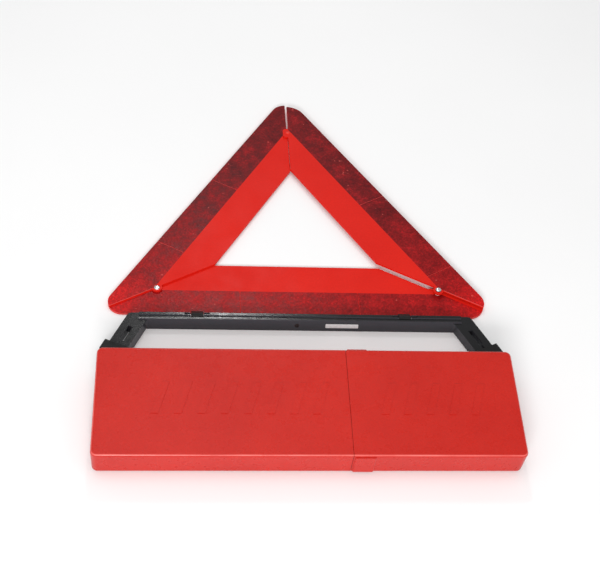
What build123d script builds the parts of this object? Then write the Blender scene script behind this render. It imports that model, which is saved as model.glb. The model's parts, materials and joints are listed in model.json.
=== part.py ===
"""Folding warning triangle: weighted stand, three reflector arms and a two-piece storage case.

Millimetres, +Z up.  The triangle lies open and flat behind its stand, and the closed case
leans in front, its back edge just clear of the stand's feet.
"""
import os
from math import asin, cos, degrees, radians, sin, sqrt

from build123d import *

# ---- triangle ---------------------------------------------------------------------------
side = 470.0                # side of the outer triangle, before its corners are rounded
corner_radii = 17.0, 21.0    # lower left and lower right corner
arm_width = 78.4
retro_width = 37.0          # outer strip of prism reflector
arm_thickness = 2.5
lens_thickness = 0.9
layer_gap = 0.15
lens_gap = 0.6
mitre_gaps = {              # how far each side arm stands off its lower mitre:
    "left": (1.0, 0.25),    # (beside the reflector, beside the fluorescent band)
    "right": (2.0, 2.8),
}
base_cut_start = 46.0       # where the lower arm's right end starts to follow the mitre
apex_slit = 2.2
apex_radius = {"base": 21.0, "left": 20.0, "right": 26.0}
apex_seam = 0.5
eye_radius = 6.2
lens_joints = {"base": (165.0, 305.0), "left": (133.0, 265.0), "right": (92.0, 235.0)}

# ---- pivots of the arms -----------------------------------------------------------------
rivet_radius = 2.2
rivet_head_radius = 3.5
rivet_clearance = 0.15
lower_bore_radius, lower_head_radius = 4.1, 3.9
lower_bore_depth, lower_head_floor = 0.9, 0.2
upper_bore_play, upper_bore_depth = 0.3, 1.2
spacer_radius = 4.0
spacer_notch = 4.7
stud_radius = 1.5
stud_below_apex = 4.6
tab_half_width = 6.5
tab_length = 17.0

# ---- stand ------------------------------------------------------------------------------
bar_back = -6.5             # offsets in Y are counted from the triangle's lower edge
bar_front_top = -16.2
bar_front_foot = -21.0
bar_height = 14.0
bar_half_length = 186.0
bar_toe = 1.2               # upright foot of the inner wall
ridge_run = 0.5             # slope of each ridge, in Y
label_x, label_z, label_length, label_height = 46.0, 6.6, 38.0, 5.0
screw_x, screw_z = -6.0, 6.5
groove_back, groove_front, groove_depth = -11.6, -14.6, 1.6
leg_angle = 24.5
corner_fillets = 5.0, 5.0   # outer and inner corner between bar and leg
leg_root = (188.2, -13.5)
leg_overlap = 14.0          # how far the leg starts inside the bar
leg_top_half, leg_foot_half = 11.4, 12.8
leg_height = 11.4
leg_end = 46.0              # end of the full section; a narrower tongue goes on
tongue_end, tongue_half, tongue_height = 56.0, 6.0, 9.0
leg_relief, leg_relief_start = 2.4, 33.0
slot_start, slot_end, slot_width = 15.0, 38.0, 5.4
slit_width = 2.4

# ---- feet that slide along the legs -----------------------------------------------------
foot_start = 45.0
foot_travel = 10.0
foot_half = 16.0
foot_height = 13.4
foot_play = 0.3
foot_pad_y = -90.0          # the pad that carries the case reaches this far forward
foot_bend, foot_pad_outer, foot_pad_inner = 59.0, 223.5, 196.0
foot_nose = 2.4
foot_shoulder_outer, foot_shoulder_inner, foot_corner = 22.0, 20.0, 4.0
foot_mouth = 8.0            # the tunnel is cut from this far outside the foot

# ---- hinge between stand and triangle ---------------------------------------------------
hinge_y, hinge_z = -9.0, 10.0
hinge_x = 120.0
knuckle_radius = 3.6
knuckle_width = 14.0
knuckle_play = 0.6
pin_radius = 1.5
pin_length = 29.0
pin_clearance = 0.15
pad_width, pad_depth, pad_thickness = 26.0, 14.0, 0.8
peg_radius, peg_spacing, peg_offset = 1.6, 17.0, 8.5

# ---- storage case -----------------------------------------------------------------------
case_length, case_depth, case_height = 449.0, 130.0, 34.0
case_x = -1.8
case_front = -214.0
case_clear = 1.4            # back edge above the top of the feet
case_corner, case_edge = 6.5, 2.6
case_wall = 1.8
body_length = 265.7
case_seam = body_length - case_length / 2
seam_gap = 0.5
neck_length, neck_root, neck_wall, neck_play = 30.0, 12.0, 1.5, 0.3
grip_width, grip_rise, grip_height, grip_gap = 22.0, 1.5, 29.0, 2.0
emboss_rise = 0.6

# ---- derived ----------------------------------------------------------------------------
rise = side * sqrt(3) / 2
case_tilt = degrees(asin((foot_height + case_clear) / case_depth))
# the leaning case's front wall and grips reach past its front foot
front_lean = grip_rise + (case_height + grip_height) / 2 * sin(radians(case_tilt))
edge_y = -(rise - apex_radius["left"] + case_front - front_lean) / 2
pivot_in = arm_width / 2
pivot_x = side / 2 - pivot_in * sqrt(3)
pivot_y = edge_y + pivot_in
apex_pivot = (0, edge_y + rise - arm_width)
boundary_apex_y = edge_y + rise - 2 * retro_width

corners = [(-side / 2, edge_y), (side / 2, edge_y), (0, edge_y + rise)]
arms = {
    # start corner, direction of the outer edge, direction inwards, layer
    "base": (corners[0], 0, 90, 0),
    "left": (corners[0], 60, -30, 1),
    "right": (corners[1], 120, 210, 2),
}
case_plane = Plane(
    origin=(case_x, edge_y + case_front, 0),
    x_dir=(1, 0, 0),
    z_dir=(0, -sin(radians(case_tilt)), cos(radians(case_tilt))),
)

os.makedirs("parts", exist_ok=True)


def layer_z(layer):
    """Underside of an arm in the given layer of the stack."""
    return layer * (arm_thickness + layer_gap)


def arm_point(arm, along, inward):
    """Point of the arm's plane, along its outer edge and inwards from it."""
    (x, y), along_angle, in_angle, _ = arms[arm]
    a, b = radians(along_angle), radians(in_angle)
    return (x + along * cos(a) + inward * cos(b), y + along * sin(a) + inward * sin(b))


def triangle_region(arm, points):
    """Sketch of the rounded triangle, kept inside the polygon."""
    with BuildSketch() as region:
        with BuildLine():
            Polyline(*corners, close=True)
        make_face()
        fillet(region.vertices().sort_by(Axis.Y)[-1], apex_radius[arm])
        fillet(region.vertices().sort_by_distance(corners[0])[0], corner_radii[0])
        fillet(region.vertices().sort_by_distance(corners[1])[0], corner_radii[1])
        with BuildLine():
            Polyline(*points, close=True)
        make_face(mode=Mode.INTERSECT)
    return region.sketch


def band(arm, depth):
    """Mitred strip along the arm's outer edge, down to a depth."""
    mitre = depth * sqrt(3)
    return triangle_region(arm, [
        arm_point(arm, 0, 0),
        arm_point(arm, side, 0),
        arm_point(arm, side - mitre, depth),
        arm_point(arm, mitre, depth),
    ])


def mitre_cut(arm):
    """Clearance along the lower mitre and at the apex, as a sketch to take away."""
    corner, along_angle, in_angle, _ = arms[arm]
    outer_gap, inner_gap = mitre_gaps[arm]
    with BuildSketch() as cut:
        with Locations(Location((*corner, 0), (0, 0, along_angle + (in_angle - along_angle) / 3))):
            Rectangle(2 * retro_width, 2 * outer_gap, align=(Align.MIN, Align.CENTER))
            Rectangle(side, 2 * inner_gap, align=(Align.MIN, Align.CENTER))
        slit_height = 2 * retro_width
        with Locations((0, boundary_apex_y + slit_height / 2)):
            Rectangle(apex_slit, slit_height)
        with Locations((0, boundary_apex_y - arm_width / 2)):
            Rectangle(apex_seam, arm_width)
    return cut.sketch


def lens_region(arm, start, stop):
    """One reflector tile, between two stations along the outer edge."""
    with BuildSketch() as tile:
        add(band(arm, retro_width))
        with BuildLine():
            Polyline(
                arm_point(arm, start, -1),
                arm_point(arm, stop, -1),
                arm_point(arm, stop, retro_width + 1),
                arm_point(arm, start, retro_width + 1),
                close=True,
            )
        make_face(mode=Mode.INTERSECT)
        if arm != "base":
            add(mitre_cut(arm), mode=Mode.SUBTRACT)
        with Locations((-pivot_x, pivot_y), (pivot_x, pivot_y)):
            Circle(rivet_head_radius + upper_bore_play if arm == "left" else rivet_radius + 0.4,
                   mode=Mode.SUBTRACT)
        if arm == "left":
            with Locations(apex_pivot):
                Circle(spacer_notch, mode=Mode.SUBTRACT)
    return tile.sketch


def export(piece, label):
    piece.label = label
    export_step(piece, f"parts/{label}.step")


# ---- reflector tiles --------------------------------------------------------------------
def lens_tiles(arm):
    """The arm's row of reflector tiles, set flush in the top of its carrier."""
    top = layer_z(arms[arm][3]) + arm_thickness
    stations = (0, *lens_joints[arm], side)
    for number, (start, stop) in enumerate(zip(stations, stations[1:]), 1):
        first = start + (lens_gap / 2 if start else 0)
        last = stop - (lens_gap / 2 if stop < side else 0)
        with BuildPart() as lens:
            with BuildSketch(Plane.XY.offset(top - lens_thickness)):
                add(lens_region(arm, first, last))
            extrude(amount=lens_thickness)
        export(lens.part, f"{arm}_lens_{number}")


for arm_name in arms:
    lens_tiles(arm_name)

# ---- base carrier: full-length lower arm that carries both pivots -------------------------
with BuildPart() as base_carrier:
    with BuildSketch() as base_outline:
        add(triangle_region("base", [
            (-side / 2, edge_y),
            (side / 2, edge_y),
            (side / 2 - arm_width / sqrt(3), edge_y + arm_width),
            (-side / 2 + arm_width / sqrt(3), edge_y + arm_width),
        ]))
        fillet(base_outline.vertices().group_by(Axis.Y)[-1], 6)
        with BuildLine():
            Polyline(
                arm_point("base", side - base_cut_start * sqrt(3), base_cut_start),
                arm_point("base", side - (arm_width + 1) * sqrt(3), arm_width + 1),
                arm_point("base", side, arm_width + 1),
                arm_point("base", side, base_cut_start),
                close=True,
            )
        make_face(mode=Mode.SUBTRACT)
        with Locations((pivot_x, pivot_y)):
            Circle(eye_radius)
    extrude(amount=arm_thickness)
    with BuildSketch(Plane.XY.offset(arm_thickness)):
        add(band("base", retro_width))
    extrude(amount=-lens_thickness, mode=Mode.SUBTRACT)
    for x in (-hinge_x, hinge_x):
        with BuildSketch():
            with Locations((x, edge_y + pad_depth / 2 - 0.5)):
                Rectangle(pad_width + 0.4, pad_depth + 1.0)
        extrude(amount=pad_thickness, mode=Mode.SUBTRACT)
    with BuildSketch(Plane.XY.offset(0.1)):
        for x in (-hinge_x, hinge_x):
            with Locations((x, edge_y + peg_offset)):
                with GridLocations(peg_spacing, 1, 2, 1):
                    Circle(peg_radius)
    extrude(amount=pad_thickness)
    with Locations(Plane((-pivot_x, pivot_y, 0)), Plane((pivot_x, pivot_y, 0))):
        Cylinder(rivet_radius, arm_thickness, align=(Align.CENTER, Align.CENTER, Align.MIN),
                 mode=Mode.SUBTRACT)
        Cylinder(lower_bore_radius, lower_bore_depth, align=(Align.CENTER, Align.CENTER, Align.MIN),
                 mode=Mode.SUBTRACT)
export(base_carrier.part, "base_carrier")


# ---- side carriers ----------------------------------------------------------------------
def side_outline(arm, pivot):
    """Mitred arm with a round eye at its lower pivot."""
    with BuildSketch() as outline:
        add(band(arm, arm_width))
        add(mitre_cut(arm), mode=Mode.SUBTRACT)
        with Locations(pivot):
            Circle(eye_radius)
    return outline.sketch


with BuildPart() as left_carrier:
    left_z = layer_z(1)
    with BuildSketch(Plane.XY.offset(left_z)):
        add(side_outline("left", (-pivot_x, pivot_y)))
        with Locations(apex_pivot):
            Circle(spacer_notch, mode=Mode.SUBTRACT)
    extrude(amount=arm_thickness)
    with BuildSketch(Plane.XY.offset(left_z + arm_thickness)):
        add(lens_region("left", 0, side))
    extrude(amount=-lens_thickness, mode=Mode.SUBTRACT)
    with Locations(Plane((-pivot_x, pivot_y, left_z))):
        Cylinder(rivet_radius + rivet_clearance, arm_thickness,
                 align=(Align.CENTER, Align.CENTER, Align.MIN), mode=Mode.SUBTRACT)
    with Locations(Plane((-pivot_x, pivot_y, left_z + arm_thickness))):
        Cylinder(rivet_head_radius + upper_bore_play, upper_bore_depth,
                 align=(Align.CENTER, Align.CENTER, Align.MAX), mode=Mode.SUBTRACT)
export(left_carrier.part, "left_carrier")

with BuildPart() as right_carrier:
    right_z = layer_z(2)
    with BuildSketch(Plane.XY.offset(right_z)):
        add(side_outline("right", (pivot_x, pivot_y)))
        with Locations((0, boundary_apex_y - tab_length / 2)):
            RectangleRounded(2 * tab_half_width, tab_length, tab_half_width - 2)
    extrude(amount=arm_thickness)
    with BuildSketch(Plane.XY.offset(right_z + arm_thickness)):
        add(lens_region("right", 0, side))
    extrude(amount=-lens_thickness, mode=Mode.SUBTRACT)
    with Locations(Plane((pivot_x, pivot_y, right_z))):
        Cylinder(rivet_radius + rivet_clearance, arm_thickness,
                 align=(Align.CENTER, Align.CENTER, Align.MIN), mode=Mode.SUBTRACT)
    with Locations(Plane((0, apex_pivot[1] - stud_below_apex, right_z))):
        Cylinder(stud_radius, arm_thickness,
                 align=(Align.CENTER, Align.CENTER, Align.MIN), mode=Mode.SUBTRACT)
export(right_carrier.part, "right_carrier")


# ---- rivets, spacer and apex stud --------------------------------------------------------
def turned(outline, x, y):
    """Solid of revolution about a vertical axis, from (radius, height) points."""
    with BuildPart() as body:
        with BuildSketch(Plane(origin=(x, y, 0), x_dir=(1, 0, 0), z_dir=(0, -1, 0))):
            with BuildLine():
                Polyline(*outline, close=True)
            make_face()
        revolve(axis=Axis((x, y, 0), (0, 0, 1)))
    return body.part


def rivet_outline(head_z, dome):
    """Lower head in the base's counterbore, shank, and a domed upper head."""
    steps = 5
    cap = [(rivet_head_radius * cos(radians(90 * i / steps)),
            head_z + dome * sin(radians(90 * i / steps))) for i in range(steps)]
    return [
        (0, lower_head_floor), (lower_head_radius, lower_head_floor),
        (lower_head_radius, lower_bore_depth), (rivet_radius, lower_bore_depth),
        (rivet_radius, head_z - 0.4), (rivet_head_radius, head_z - 0.4),
        *cap, (0, head_z + dome),
    ]


left_head_z = layer_z(1) + arm_thickness - 0.75
left_rivet = turned(rivet_outline(left_head_z, 0.75), -pivot_x, pivot_y)
export(left_rivet, "left_rivet")
right_head_z = layer_z(2) + arm_thickness + 0.45
right_rivet = turned(rivet_outline(right_head_z, 1.4), pivot_x, pivot_y)
export(right_rivet, "right_rivet")

with BuildPart() as right_spacer:
    with BuildSketch(Plane.XY.offset(arm_thickness)):
        with Locations((pivot_x, pivot_y)):
            Circle(spacer_radius)
            Circle(rivet_radius, mode=Mode.SUBTRACT)
    extrude(amount=arm_thickness + 2 * layer_gap - 0.05)
export(right_spacer.part, "right_spacer")

stud_z = layer_z(2)
stud_top = stud_z + arm_thickness
apex_stud = turned(
    [(0, stud_z + 0.1), (stud_radius, stud_z + 0.1), (stud_radius, stud_top), (2.7, stud_top),
     (2.7, stud_top + 0.5), (2.2, stud_top + 1.0), (1.2, stud_top + 1.3), (0, stud_top + 1.35)],
    0, apex_pivot[1] - stud_below_apex)
export(apex_stud, "apex_stud")


# ---- stand ------------------------------------------------------------------------------
def leg_plane(hand, station):
    """Upright plane across a leg; its X runs across the leg and its Y is up."""
    out, back = sin(radians(leg_angle)), cos(radians(leg_angle))
    return Plane(
        origin=(hand * (leg_root[0] + station * out), edge_y + leg_root[1] - station * back, 0),
        x_dir=(back, hand * out, 0),
        z_dir=(hand * out, -back, 0),
    )


def leg_section(play=0.0, foot=0.0):
    """Corner points of the leg's section, widened by a play, standing on a foot height."""
    return [
        (-leg_foot_half - play, foot), (leg_foot_half + play, foot),
        (leg_top_half + play, leg_height + play), (-leg_top_half - play, leg_height + play),
    ]


with BuildPart() as stand_frame:
    with BuildSketch(Plane.YZ):
        with BuildLine():
            Polyline(*[(edge_y + y, z) for y, z in (
                (bar_back, 0), (bar_front_foot, 0), (bar_front_foot, bar_toe),
                (bar_front_top - ridge_run, bar_height - 0.6), (bar_front_top, bar_height),
                (groove_front - ridge_run, bar_height), (groove_front, bar_height - groove_depth),
                (groove_back, bar_height - groove_depth), (groove_back + ridge_run, bar_height),
                (bar_back - 1.0, bar_height), (bar_back, bar_height - 1.0),
            )], close=True)
        make_face()
    extrude(amount=bar_half_length, both=True)
    for hand in (-1, 1):
        with BuildSketch(leg_plane(hand, -leg_overlap)):
            with BuildLine():
                Polyline(*leg_section(), close=True)
            make_face()
        extrude(amount=leg_end + leg_overlap)
    with Locations((0, edge_y + bar_back + 20, 0)):
        Box(3 * bar_half_length, 40, 60, mode=Mode.SUBTRACT)
    for hand in (-1, 1):
        corner_points = [
            (hand * 197.0, edge_y + bar_back, leg_height / 2),
            (hand * 176.5, edge_y + bar_front_top - 2.5, leg_height / 2),
        ]
        for point, radius in zip(corner_points, corner_fillets):
            fillet(stand_frame.edges().sort_by_distance(point)[0], radius)
        # tongue inside the foot
        with BuildSketch(leg_plane(hand, leg_end - 1)):
            with Locations((0, tongue_height / 2)):
                Rectangle(2 * tongue_half, tongue_height)
        extrude(amount=tongue_end - leg_end + 1)
        # underside raised where the foot's floor slides
        with BuildSketch(leg_plane(hand, leg_relief_start)):
            with Locations((0, leg_relief / 2)):
                Rectangle(4 * leg_foot_half, leg_relief)
        extrude(amount=leg_end, mode=Mode.SUBTRACT)
        # open slot right through the leg, then a narrow slit on to the end of the leg
        for start, stop, width in ((slot_start, slot_end, slot_width),
                                   (slot_end - 1, leg_end, slit_width)):
            with BuildSketch(leg_plane(hand, start)):
                with Locations((0, leg_height / 2)):
                    Rectangle(width, leg_height + 2)
            extrude(amount=stop - start, mode=Mode.SUBTRACT)
        # notch for the hinge knuckle, with snap-in seats for its pin
        back = edge_y + bar_back
        notch_depth = bar_back - hinge_y + knuckle_radius + knuckle_play
        notch_floor = hinge_z - knuckle_radius - knuckle_play
        with Locations((hand * hinge_x, back - notch_depth / 2, (notch_floor + bar_height) / 2)):
            Box(knuckle_width + 2 * knuckle_play, notch_depth, bar_height - notch_floor,
                mode=Mode.SUBTRACT)
        with Locations(Location((hand * hinge_x, edge_y + hinge_y, hinge_z), (0, 90, 0))):
            Cylinder(pin_radius, pin_length, mode=Mode.SUBTRACT)
        with Locations((hand * hinge_x, edge_y + hinge_y, (hinge_z + bar_height) / 2)):
            Box(pin_length, 1.8 * pin_radius, bar_height - hinge_z, mode=Mode.SUBTRACT)


# inner wall of the bar, where the label and the ballast screw sit
def wall_plane(x, z):
    """Plane on the bar's sloping inner wall, at a height."""
    run = (bar_front_top - ridge_run - bar_front_foot) / (bar_height - 0.6 - bar_toe)
    y = edge_y + bar_front_foot + (z - bar_toe) * run
    slope = sqrt(1 + run * run)
    return Plane(origin=(x, y, z), x_dir=(1, 0, 0), z_dir=(0, -1 / slope, run / slope))


screw_plane = wall_plane(screw_x, screw_z)
screw_head, screw_shank, screw_length, screw_head_height = 2.6, 1.3, 8.0, 1.2
with BuildPart(screw_plane) as screw_hole:
    Cylinder(screw_head, screw_head_height, align=(Align.CENTER, Align.CENTER, Align.MAX))
    Cylinder(screw_shank, screw_length, align=(Align.CENTER, Align.CENTER, Align.MAX))
with BuildPart() as stand:
    add(stand_frame.part)
    add(screw_hole.part, mode=Mode.SUBTRACT)
export(stand.part, "stand_frame")

with BuildPart() as bar_screw:
    add(screw_hole.part)
    for turn in (0, 90):
        with BuildSketch(screw_plane):
            Rectangle(3.0, 0.8, rotation=turn)
        extrude(amount=-0.7, mode=Mode.SUBTRACT)
export(bar_screw.part, "bar_screw")

with BuildPart() as bar_label:
    with BuildSketch(wall_plane(label_x, label_z)):
        RectangleRounded(label_length, label_height, 0.8)
    extrude(amount=0.25)
export(bar_label.part, "bar_label")

# ---- hinge brackets and pins --------------------------------------------------------------
for hand, name in ((-1, "left"), (1, "right")):
    with BuildPart() as hinge_bracket:
        with BuildSketch(Plane.YZ.offset(hand * hinge_x)):
            with Locations((edge_y + hinge_y, hinge_z)):
                Circle(knuckle_radius)
            with BuildLine():
                Polyline(*[(edge_y + y, z) for y, z in (
                    (hinge_y, hinge_z - knuckle_radius), (-5.6, hinge_z - knuckle_radius),
                    (-4.4, 0.1), (1.0, 0.1), (1.0, pad_thickness), (-0.7, pad_thickness),
                    (-0.7, 8.6), (hinge_y + 1.4, hinge_z + knuckle_radius - 0.3),
                )], close=True)
            make_face()
            with Locations((edge_y + hinge_y, hinge_z)):
                Circle(pin_radius + pin_clearance, mode=Mode.SUBTRACT)
        extrude(amount=knuckle_width / 2, both=True)
        with BuildSketch(Plane.XY.offset(0.1)):
            with Locations((hand * hinge_x, edge_y + pad_depth / 2 - 0.3)):
                Rectangle(pad_width, pad_depth - 0.6)
            with Locations((hand * hinge_x, edge_y + peg_offset)):
                with GridLocations(peg_spacing, 1, 2, 1):
                    Circle(peg_radius, mode=Mode.SUBTRACT)
        extrude(amount=pad_thickness - 0.1)
    export(hinge_bracket.part, f"hinge_bracket_{name}")

    with BuildPart() as hinge_pin:
        with Locations(Location((hand * hinge_x, edge_y + hinge_y, hinge_z), (0, 90, 0))):
            Cylinder(pin_radius, pin_length)
        chamfer(hinge_pin.edges().filter_by(GeomType.CIRCLE), 0.3)
    export(hinge_pin.part, f"hinge_pin_{name}")

# ---- feet that slide on the legs --------------------------------------------------------------
def leg_point(hand, station, across):
    """Point of the ground beside a leg: across is positive on its outer side."""
    out, back = sin(radians(leg_angle)), cos(radians(leg_angle))
    return (hand * (leg_root[0] + station * out + across * back),
            edge_y + leg_root[1] - station * back + across * out)


for hand, name in ((-1, "left"), (1, "right")):
    with BuildPart() as foot:
        with BuildSketch() as foot_outline:
            with BuildLine():
                Polyline(
                    leg_point(hand, foot_start, foot_half),
                    leg_point(hand, foot_bend, foot_half),
                    (hand * foot_pad_outer, edge_y + foot_pad_y + foot_shoulder_outer),
                    (hand * foot_pad_outer, edge_y + foot_pad_y),
                    (hand * foot_pad_inner, edge_y + foot_pad_y),
                    (hand * foot_pad_inner, edge_y + foot_pad_y + foot_shoulder_inner),
                    leg_point(hand, foot_start, -foot_half),
                    close=True)
            make_face()
            fillet(foot_outline.vertices().group_by(Axis.Y)[0], foot_corner)
        extrude(amount=foot_height)
        front = foot.faces().sort_by(Axis.Y)[0]
        chamfer(front.edges().sort_by(Axis.Z)[-1], foot_nose / 2, foot_nose)
        # tunnel for the leg, with room for the travel, and a narrower one for its tongue
        tongue_stop = tongue_end + foot_travel + foot_play
        with BuildSketch(leg_plane(hand, foot_start - foot_mouth)):
            with BuildLine():
                Polyline(*leg_section(foot_play, leg_relief - foot_play), close=True)
            make_face()
        extrude(amount=foot_mouth + leg_end - foot_start + foot_travel + foot_play, mode=Mode.SUBTRACT)
        with BuildSketch(leg_plane(hand, foot_start)):
            with Locations((0, (leg_relief + tongue_height) / 2)):
                Rectangle(2 * (tongue_half + foot_play), tongue_height - leg_relief + 2 * foot_play)
        extrude(amount=tongue_stop - foot_start, mode=Mode.SUBTRACT)
    export(foot.part, f"{name}_foot")


# ---- storage case ---------------------------------------------------------------------------
def case_block(inset):
    """Rounded block of the case's outer shape, drawn in by an inset on every side."""
    with BuildPart() as block:
        with BuildSketch(case_plane.offset(inset)):
            with Locations((0, case_depth / 2)):
                RectangleRounded(case_length - 2 * inset, case_depth - 2 * inset,
                                 case_corner - inset)
        extrude(amount=case_height - 2 * inset)
        up = Axis((0, 0, 0), case_plane.z_dir)
        ends = block.faces().filter_by(up).sort_by(up)
        fillet(ends[0].edges() + ends[-1].edges(), max(case_edge - inset, 0.8))
    return block.part


def case_slice(inset, start, stop):
    """The part of a case block between two stations along the case."""
    with BuildPart() as piece:
        add(case_block(inset))
        with BuildSketch(case_plane.offset(-20)):
            with Locations(((start + stop) / 2, case_depth / 2)):
                Rectangle(stop - start, 2 * case_depth)
        extrude(amount=case_height + 40, mode=Mode.INTERSECT)
    return piece.part


stripe_count, stripe_pitch, stripe_width, stripe_length = 15, 24.0, 8.0, 38.0
stripe_start, stripe_y, stripe_lean = -166.0, 68.0, 11.0


def stripes(low, high):
    """Row of leaning raised bars on the lid, those between two stations."""
    with BuildSketch(case_plane.offset(case_height)) as row:
        for number in range(stripe_count):
            x = stripe_start + number * stripe_pitch
            if low < x - stripe_width and x + stripe_width + stripe_lean < high:
                with BuildLine():
                    Polyline(
                        (x, stripe_y - stripe_length / 2),
                        (x + stripe_width, stripe_y - stripe_length / 2),
                        (x + stripe_width + stripe_lean, stripe_y + stripe_length / 2),
                        (x + stripe_lean, stripe_y + stripe_length / 2), close=True)
                make_face()
    return row.sketch


case_left, case_right = -case_length / 2 - 1, case_length / 2 + 1
neck_inset = case_wall + neck_play
with BuildPart() as case_body:
    add(case_slice(0, case_left, case_seam))
    add(case_slice(case_wall, case_left, case_seam - neck_root), mode=Mode.SUBTRACT)
    add(case_slice(neck_inset, case_seam - neck_root, case_seam + neck_length))
    add(case_slice(neck_inset + neck_wall, case_seam - neck_root - 1, case_seam + neck_length + 1),
        mode=Mode.SUBTRACT)
    extrude(to_extrude=stripes(case_left, case_seam), amount=emboss_rise)
export(case_body.part, "case_body")

with BuildPart() as case_cap:
    add(case_slice(0, case_seam + seam_gap, case_right))
    add(case_slice(case_wall, case_seam - 1, case_right), mode=Mode.SUBTRACT)
    for y in (0, case_depth):
        x = case_seam + grip_gap + grip_width / 2
        with BuildSketch(case_plane.offset(case_height / 2)):
            with Locations((x, y)):
                RectangleRounded(grip_width, 2 * grip_rise, grip_rise - 0.1)
        extrude(amount=grip_height / 2, both=True)
    add(case_slice(case_wall, case_seam - 1, case_right), mode=Mode.SUBTRACT)
    extrude(to_extrude=stripes(case_seam + 8, case_right), amount=emboss_rise)
export(case_cap.part, "case_cap")
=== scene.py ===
"""Looks of the folding warning triangle: materials, softened edges, floor, light and camera."""
import json
import math

import bpy
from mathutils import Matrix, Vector

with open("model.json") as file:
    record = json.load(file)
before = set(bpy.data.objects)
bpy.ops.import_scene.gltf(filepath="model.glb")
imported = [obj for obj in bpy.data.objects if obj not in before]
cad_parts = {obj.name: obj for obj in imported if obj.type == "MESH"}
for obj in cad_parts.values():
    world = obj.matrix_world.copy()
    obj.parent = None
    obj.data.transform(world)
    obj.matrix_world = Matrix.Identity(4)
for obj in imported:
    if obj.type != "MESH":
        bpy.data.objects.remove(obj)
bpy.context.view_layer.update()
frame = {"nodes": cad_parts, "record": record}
nodes = frame["nodes"]
MM = 0.001


# ---- node helpers -------------------------------------------------------------------------
class Graph:
    """A material's node tree with short calls for the nodes that every finish here uses."""

    def __init__(self, name):
        self.material = bpy.data.materials.new(name)
        self.material.use_nodes = True
        self.tree = self.material.node_tree
        self.shader = self.tree.nodes["Principled BSDF"]
        coordinates = self.node("ShaderNodeTexCoord")
        self.place = coordinates.outputs["Object"]
        self.surface = coordinates.outputs["Normal"]

    def node(self, kind, **settings):
        made = self.tree.nodes.new(kind)
        for key, value in settings.items():
            setattr(made, key, value)
        return made

    def link(self, source, target):
        self.tree.links.new(source, target)

    def shade(self, **values):
        """Constant values on the shader's own sockets."""
        for key, value in values.items():
            self.shader.inputs[key.replace("_", " ")].default_value = value

    def noise(self, size, detail=3.0, rough=0.55):
        """Noise whose features are about size metres across."""
        noise = self.node("ShaderNodeTexNoise")
        noise.inputs["Scale"].default_value = 1.0 / size
        noise.inputs["Detail"].default_value = detail
        noise.inputs["Roughness"].default_value = rough
        self.link(self.place, noise.inputs["Vector"])
        return noise.outputs["Fac"]

    def cells(self, size, feature="F1", output="Distance"):
        """Voronoi cells about size metres across."""
        cells = self.node("ShaderNodeTexVoronoi", feature=feature)
        cells.inputs["Scale"].default_value = 1.0 / size
        self.link(self.place, cells.inputs["Vector"])
        return cells.outputs[output]

    def ramp(self, value, *stops):
        """Colour or grey ramp: stops are (place, colour)."""
        ramp = self.node("ShaderNodeValToRGB")
        elements = ramp.color_ramp.elements
        while len(elements) < len(stops):
            elements.new(0.5)
        for element, (at, colour) in zip(elements, stops):
            element.position = at
            element.color = (*colour, 1) if isinstance(colour, tuple) else (colour, colour, colour, 1)
        self.link(value, ramp.inputs["Fac"])
        return ramp.outputs["Color"]

    def mix(self, kind, a, b, amount=1.0):
        mix = self.node("ShaderNodeMix", data_type="RGBA", blend_type=kind)
        factor = mix.inputs["Factor"]
        if isinstance(amount, float):
            factor.default_value = amount
        else:
            self.link(amount, factor)
        for value, socket in ((a, mix.inputs["A"]), (b, mix.inputs["B"])):
            if isinstance(value, tuple):
                socket.default_value = (*value, 1)
            else:
                self.link(value, socket)
        return mix.outputs["Result"]

    def math(self, operation, a, b):
        made = self.node("ShaderNodeMath", operation=operation)
        for value, socket in zip((a, b), made.inputs):
            if isinstance(value, (int, float)):
                socket.default_value = value
            else:
                self.link(value, socket)
        return made.outputs["Value"]

    def axis(self, letter):
        split = self.node("ShaderNodeSeparateXYZ")
        self.link(self.place, split.inputs["Vector"])
        return split.outputs[letter]

    def facing(self, letter):
        """One part of the object's own surface normal."""
        split = self.node("ShaderNodeSeparateXYZ")
        self.link(self.surface, split.inputs["Vector"])
        return split.outputs[letter]

    def span(self, value, low, high, to_low=0.0, to_high=1.0):
        """Value mapped from low..high to to_low..to_high, held at the ends."""
        made = self.node("ShaderNodeMapRange")
        for socket, number in zip(list(made.inputs)[1:5], (low, high, to_low, to_high)):
            socket.default_value = number
        self.link(value, made.inputs["Value"])
        return made.outputs["Result"]

    def bump(self, *layers):
        """Layers are (height, depth in metres)."""
        normal = None
        for height, depth in layers:
            bump = self.node("ShaderNodeBump")
            bump.inputs["Strength"].default_value = 1.0
            bump.inputs["Distance"].default_value = depth
            self.link(height, bump.inputs["Height"])
            if normal:
                self.link(normal, bump.inputs["Normal"])
            normal = bump.outputs["Normal"]
        self.link(normal, self.shader.inputs["Normal"])

    def colour(self, value):
        self.link(value, self.shader.inputs["Base Color"])

    def roughness(self, value):
        self.link(value, self.shader.inputs["Roughness"])


# ---- materials ----------------------------------------------------------------------------
def fluorescent_plastic():
    """Moulded fluorescent red sheet: a little cloudy, satin, with faint emission for its glow."""
    g = Graph("fluorescent_plastic")
    cloud = g.ramp(g.noise(0.09, 4), (0.3, (0.61, 0.010, 0.005)), (0.7, (0.68, 0.014, 0.007)))
    speck = g.ramp(g.noise(0.0025, 2), (0.35, 0.93), (0.65, 1.0))
    g.colour(g.mix("MULTIPLY", cloud, speck))
    g.roughness(g.span(g.noise(0.03, 4), 0.3, 0.7, 0.36, 0.5))
    g.bump((g.noise(0.0012, 2), 0.00003), (g.noise(0.04, 2), 0.0003))
    g.shade(Specular_IOR_Level=0.10, Emission_Color=(0.9, 0.03, 0.012, 1), Emission_Strength=0.06)
    return g.material


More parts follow.
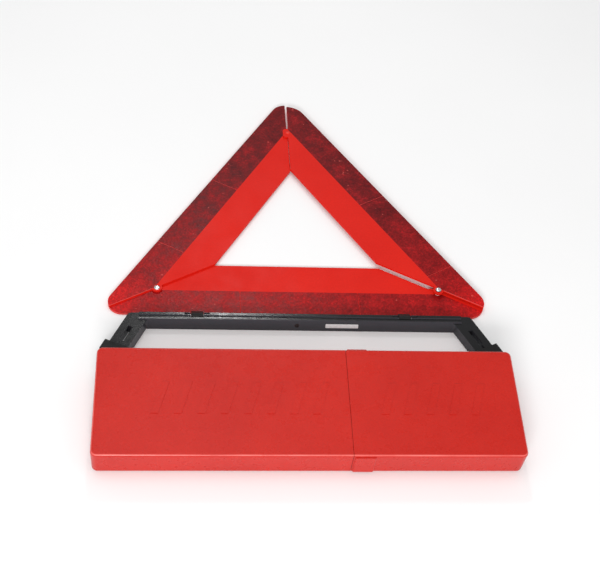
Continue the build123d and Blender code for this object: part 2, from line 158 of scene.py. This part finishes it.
prism_cell = 0.0022
painted_glint_cell = 0.0019
corner_from, corner_to = 0.175, 0.225       # |X| over which the painted light at the lower corners grows


def retro_reflector():
    """Prism reflector: wine red, fine prism cells, cloudy patches, painted glints, and painted light
    towards the front and the lower corners.
    """
    g = Graph("retro_reflector")
    patches = g.noise(0.016, 6, 0.7)
    deep = g.ramp(patches, (0.32, (0.10, 0.003, 0.005)), (0.52, (0.18, 0.004, 0.006)),
                  (0.70, (0.33, 0.006, 0.009)))
    bright = g.ramp(patches, (0.32, (0.25, 0.004, 0.005)), (0.70, (0.46, 0.006, 0.007)))
    # painted light: the brighter copy is mixed in towards the front, and a paler red most of all at the
    # two lower corners
    low = g.span(g.axis("Y"), 0.10, -0.07)
    side = g.math("ABSOLUTE", g.axis("X"), 0)
    painted_corner_light = g.math("MULTIPLY", g.span(side, corner_from, corner_to), g.span(g.axis("Y"), -0.02, -0.05))
    colour = g.mix("MIX", deep, bright, low)
    colour = g.mix("MIX", colour, (0.62, 0.008, 0.008), painted_corner_light)
    cell = g.ramp(g.cells(prism_cell, "DISTANCE_TO_EDGE"), (0.0, 0.6), (0.09, 1.0))
    shade = g.ramp(g.cells(prism_cell, "F1", "Color"), (0.2, 0.74), (0.9, 1.35))
    colour = g.mix("MULTIPLY", g.mix("MULTIPLY", colour, cell, 0.7), shade, 0.8)
    # painted highlight: paler tile edges, so that the joints between the tiles show
    painted_edge_highlight = g.span(g.facing("Z"), 0.9, 0.6)
    colour = g.mix("MIX", colour, (0.80, 0.12, 0.11), painted_edge_highlight)
    # painted glints: scattered prism cells turned bright
    glint = g.ramp(g.math("MULTIPLY", g.cells(painted_glint_cell, "F1", "Color"), g.noise(0.012, 3)),
                   (0.54, 0.0), (0.60, 0.35))
    colour = g.mix("MIX", colour, (0.95, 0.16, 0.13), glint)
    g.colour(colour)
    g.roughness(g.span(patches, 0.3, 0.7, 0.30, 0.44))
    g.bump((g.cells(prism_cell), 0.00010), (g.noise(0.02, 2), 0.0002))
    g.shade(Specular_IOR_Level=0.12)
    return g.material


def black_coating():
    """Satin black powder coat on metal, with a fine orange-peel skin."""
    g = Graph("black_coating")
    flat = g.ramp(g.noise(0.03, 5), (0.3, (0.007, 0.0072, 0.008)), (0.75, (0.013, 0.0135, 0.015)))
    # painted light: greyer on the upright walls than on the top
    g.colour(g.mix("MIX", (0.050, 0.051, 0.060), flat, g.span(g.facing("Z"), 0.35, 0.80)))
    g.roughness(g.span(g.noise(0.006, 4), 0.3, 0.7, 0.18, 0.26))
    g.bump((g.noise(0.0011, 2), 0.00004))
    g.shade(Specular_IOR_Level=0.28)
    return g.material


def black_plastic():
    """Matt moulded plastic of the feet and brackets."""
    g = Graph("black_plastic")
    g.colour(g.ramp(g.noise(0.01, 5), (0.3, (0.005, 0.005, 0.005)), (0.75, (0.010, 0.010, 0.010))))
    g.roughness(g.span(g.noise(0.004, 4), 0.3, 0.7, 0.42, 0.58))
    g.bump((g.noise(0.0007, 2), 0.00005))
    g.shade(Specular_IOR_Level=0.22)
    return g.material


def case_plastic():
    """Moulded red plastic: satin, finely grained, a little uneven."""
    g = Graph("case_plastic")
    cloud = g.ramp(g.noise(0.07, 5), (0.3, (0.50, 0.011, 0.005)), (0.7, (0.56, 0.015, 0.007)))
    speck = g.ramp(g.noise(0.0018, 3), (0.3, 0.90), (0.7, 1.04))
    # painted highlight: a thin paler line along the curved top edges, uneven along its length
    painted_highlight_band = g.ramp(g.facing("Z"), (0.40, 0.0), (0.62, 1.0), (0.84, 1.0), (0.95, 0.0))
    uneven = g.span(g.noise(0.06, 4), 0.35, 0.65, 0.35, 1.0)
    edge = g.math("MULTIPLY", painted_highlight_band, uneven)
    g.colour(g.mix("MIX", g.mix("MULTIPLY", cloud, speck), (0.78, 0.16, 0.14), edge))
    g.roughness(g.span(g.noise(0.012, 4), 0.3, 0.7, 0.24, 0.34))
    g.bump((g.noise(0.0011, 3), 0.00008), (g.noise(0.05, 2), 0.0003))
    g.shade(Specular_IOR_Level=0.30)
    return g.material


def bright_metal(name, colour, roughness):
    """Plain metal with fine marks, and painted shade: darker where it turns away from facing up."""
    g = Graph(name)
    unshaded_metal = g.ramp(g.noise(0.002, 4), (0.3, tuple(0.85 * c for c in colour)), (0.7, colour))
    # painted shade: darker where the surface turns away from facing up
    g.colour(g.mix("MIX", (0.05, 0.04, 0.04), unshaded_metal, g.span(g.facing("Z"), 0.35, 0.85)))
    g.roughness(g.span(g.noise(0.0008, 3), 0.3, 0.7, roughness - 0.06, roughness + 0.08))
    g.bump((g.noise(0.0006, 2), 0.00001))
    g.shade(Metallic=1.0)
    return g.material


def plain_plastic(name, colour, roughness):
    g = Graph(name)
    g.colour(g.ramp(g.noise(0.003, 4), (0.3, tuple(0.9 * c for c in colour)), (0.7, colour)))
    g.roughness(g.span(g.noise(0.002, 3), 0.3, 0.7, roughness - 0.05, roughness + 0.05))
    g.bump((g.noise(0.0008, 2), 0.00002))
    return g.material


finishes = {
    "fluorescent_plastic": fluorescent_plastic(),
    "retro_reflector": retro_reflector(),
    "stand_metal": black_coating(),
    "foot_plastic": black_plastic(),
    "bracket_metal": black_plastic(),
    "case_plastic": case_plastic(),
    "rivet_metal": bright_metal("rivet_metal", (0.80, 0.80, 0.82), 0.22),
    "pin_steel": bright_metal("pin_steel", (0.45, 0.45, 0.47), 0.35),
    "spacer_plastic": plain_plastic("spacer_plastic", (0.75, 0.74, 0.70), 0.45),
    "stud_plastic": plain_plastic("stud_plastic", (0.80, 0.03, 0.015), 0.25),
    "label_film": plain_plastic("label_film", (0.82, 0.83, 0.84), 0.5),
}
slot_of = {entry["node"]: entry["material_slot"] for entry in frame["record"]["subparts"]}
for name, node in nodes.items():
    node.data.materials.clear()
    node.data.materials.append(finishes[slot_of[name]])


# ---- softened edges of the moulded parts ------------------------------------------------------
def soften(name, width):
    edge = nodes[name].modifiers.new("soft_edges", "BEVEL")
    edge.width = width
    edge.segments = 2
    edge.limit_method = "ANGLE"
    edge.angle_limit = math.radians(40)
    edge.harden_normals = True


sheet_edge, stand_edge = 0.25 * MM, 0.5 * MM
for name in nodes:
    if "carrier" in name or "lens" in name:
        soften(name, sheet_edge)
    elif name in ("stand_frame", "left_foot", "right_foot"):
        soften(name, stand_edge)


# ---- floor, light and camera ------------------------------------------------------------------
def pale_floor():
    bpy.ops.mesh.primitive_plane_add(size=14, location=(0, 0, 0))
    floor = bpy.context.object
    floor.name = "floor"
    g = Graph("floor_paper")
    g.colour(g.ramp(g.noise(0.4, 3), (0.3, (0.93, 0.93, 0.93)), (0.7, (0.95, 0.95, 0.95))))
    g.shade(Roughness=0.9, Specular_IOR_Level=0.1)
    floor.data.materials.append(g.material)


def area_light(name, place, target, size, power):
    data = bpy.data.lights.new(name, "AREA")
    data.shape = "RECTANGLE"
    data.size, data.size_y = size
    data.energy = power
    light = bpy.data.objects.new(name, data)
    light.location = place
    aim = Vector(target) - Vector(place)
    light.rotation_euler = aim.to_track_quat("-Z", "Y").to_euler()
    bpy.context.collection.objects.link(light)


pale_floor()
area_light("overhead", (-0.2, -0.2, 2.2), (0, 0, 0), (1.6, 1.6), 10)
area_light("front_key", (-0.4, -2.2, 1.1), (0, -0.1, 0), (1.0, 0.4), 36)
area_light("bar_glint", (-0.03, 1.25, 1.5), (-0.09, -0.1, 0), (0.07, 0.16), 4.5)

world = bpy.data.worlds.new("studio")
world.use_nodes = True
world.node_tree.nodes["Background"].inputs["Color"].default_value = (1, 1, 1, 1)
world.node_tree.nodes["Background"].inputs["Strength"].default_value = 0.55
bpy.context.scene.world = world
bpy.context.scene.view_settings.view_transform = "Standard"

camera_data = bpy.data.cameras.new("camera")
camera_data.lens = 69.1
camera_data.sensor_width = 36.0
camera = bpy.data.objects.new("camera", camera_data)
camera.location = (-0.1343, -0.9682, 0.9979)
camera.rotation_euler = [math.radians(angle) for angle in (43.06, -4.80, -3.21)]
bpy.context.collection.objects.link(camera)
bpy.context.scene.camera = camera
